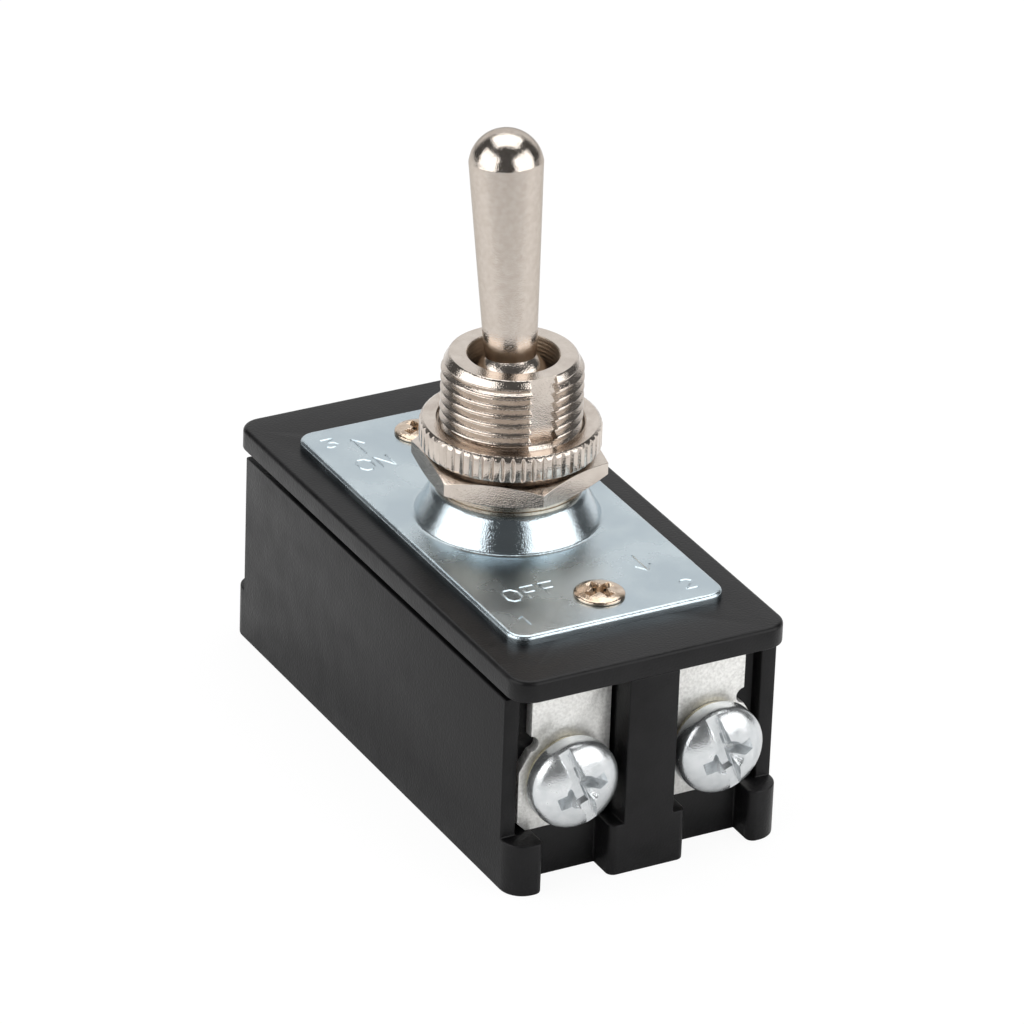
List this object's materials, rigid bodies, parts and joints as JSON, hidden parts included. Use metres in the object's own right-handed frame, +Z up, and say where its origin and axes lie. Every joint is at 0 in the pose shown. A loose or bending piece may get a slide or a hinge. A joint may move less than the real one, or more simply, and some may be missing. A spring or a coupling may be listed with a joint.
{
  "type": "panel toggle switch",
  "caption": "Heavy-duty panel toggle switch with a bat lever, threaded bushing with two nuts, plated mounting plate, black moulded body and screw terminals at both ends.",
  "frame": {"origin": "centre of the underside of the base housing, on the bushing's axis", "axes": "+Z up along the bushing, X across the body, Y along it; the keyway and the front terminals face -Y"},
  "size_m": [0.0254, 0.0538, 0.055],
  "materials": {
    "phenolic": "black moulded phenolic, satin",
    "nickel": "nickel plated, satin to bright",
    "zinc_sheet": "blue zinc plated steel sheet",
    "tin_plate": "tin plated strip",
    "zinc_screw": "bright zinc plated steel",
    "copper_screw": "warm nickel plated screw",
    "insulator": "brown moulded insulator",
    "contact_metal": "spring brass",
    "silver": "silver contact",
    "spring_steel": "spring wire"
  },
  "bodies": {
    "housing": {"base_housing": "phenolic", "cover": "phenolic", "mounting_plate": "zinc_sheet", "bushing": "nickel", "pivot_pin": "spring_steel", "plate_screw_front": "copper_screw", "plate_screw_rear": "copper_screw", "terminal_front_left": "tin_plate", "terminal_front_right": "tin_plate", "terminal_rear_left": "tin_plate", "terminal_rear_right": "tin_plate", "terminal_washer_front_left": "zinc_screw", "terminal_washer_front_right": "zinc_screw", "terminal_washer_rear_left": "zinc_screw", "terminal_washer_rear_right": "zinc_screw", "fixed_contact_left": "silver", "fixed_contact_right": "silver"},
    "lever": {"toggle_lever": "nickel", "actuator": "insulator", "plunger_spring_left": "spring_steel", "plunger_spring_right": "spring_steel"},
    "hex_nut": {"hex_nut": "nickel"},
    "knurled_nut": {"knurled_nut": "nickel"},
    "plunger_left": {"plunger_left": "insulator"},
    "rocker_left": {"rocker_left": "contact_metal", "moving_contact_left": "silver"},
    "plunger_right": {"plunger_right": "insulator"},
    "rocker_right": {"rocker_right": "contact_metal", "moving_contact_right": "silver"},
    "screw_front_left": {"terminal_screw_front_left": "zinc_screw"},
    "screw_front_right": {"terminal_screw_front_right": "zinc_screw"},
    "screw_rear_left": {"terminal_screw_rear_left": "zinc_screw"},
    "screw_rear_right": {"terminal_screw_rear_right": "zinc_screw"}
  },
  "joints": [
    {"name": "lever_tilt", "type": "hinge", "parent": "housing", "child": "lever", "pos_m": [0, 0, 0.031], "axis": [1, 0, 0], "range_deg": [-6.5, 19.5]},
    {"name": "hex_nut_turn", "type": "hinge", "parent": "housing", "child": "hex_nut", "pos_m": [0, 0, 0.026], "axis": [0, 0, 1], "continuous": true},
    {"name": "knurled_nut_turn", "type": "hinge", "parent": "housing", "child": "knurled_nut", "pos_m": [0, 0, 0.0285], "axis": [0, 0, 1], "continuous": true},
    {"name": "plunger_left_slide", "type": "slide", "parent": "lever", "child": "plunger_left", "axis": [0, 0.1132, 0.9936], "range_m": [0, 0.0006], "stiffness_N_per_m": 1500, "springref_m": -0.002, "deforming": ["plunger_spring_left"]},
    {"name": "rocker_left_tip", "type": "hinge", "parent": "housing", "child": "rocker_left", "pos_m": [-0.0068, 0, 0.0071], "axis": [1, 0, 0], "range_deg": [-9.01, 3.01]},
    {"name": "plunger_right_slide", "type": "slide", "parent": "lever", "child": "plunger_right", "axis": [0, 0.1132, 0.9936], "range_m": [0, 0.0006], "stiffness_N_per_m": 1500, "springref_m": -0.002, "deforming": ["plunger_spring_right"]},
    {"name": "rocker_right_tip", "type": "hinge", "parent": "housing", "child": "rocker_right", "pos_m": [0.0068, 0, 0.0071], "axis": [1, 0, 0], "range_deg": [-9.01, 3.01]},
    {"name": "screw_front_left_turn", "type": "hinge", "parent": "housing", "child": "screw_front_left", "pos_m": [-0.0068, -0.0241, 0.0093], "axis": [0, -1, 0], "continuous": true},
    {"name": "screw_front_right_turn", "type": "hinge", "parent": "housing", "child": "screw_front_right", "pos_m": [0.0068, -0.0241, 0.0093], "axis": [0, -1, 0], "continuous": true},
    {"name": "screw_rear_left_turn", "type": "hinge", "parent": "housing", "child": "screw_rear_left", "pos_m": [-0.0068, 0.0241, 0.0093], "axis": [0, 1, 0], "continuous": true},
    {"name": "screw_rear_right_turn", "type": "hinge", "parent": "housing", "child": "screw_rear_right", "pos_m": [0.0068, 0.0241, 0.0093], "axis": [0, 1, 0], "continuous": true}
  ],
  "couplings": [
    {"joint": "rocker_left_tip", "follows": "lever_tilt", "ratio": -0.46154},
    {"joint": "rocker_right_tip", "follows": "lever_tilt", "ratio": -0.46154}
  ]
}
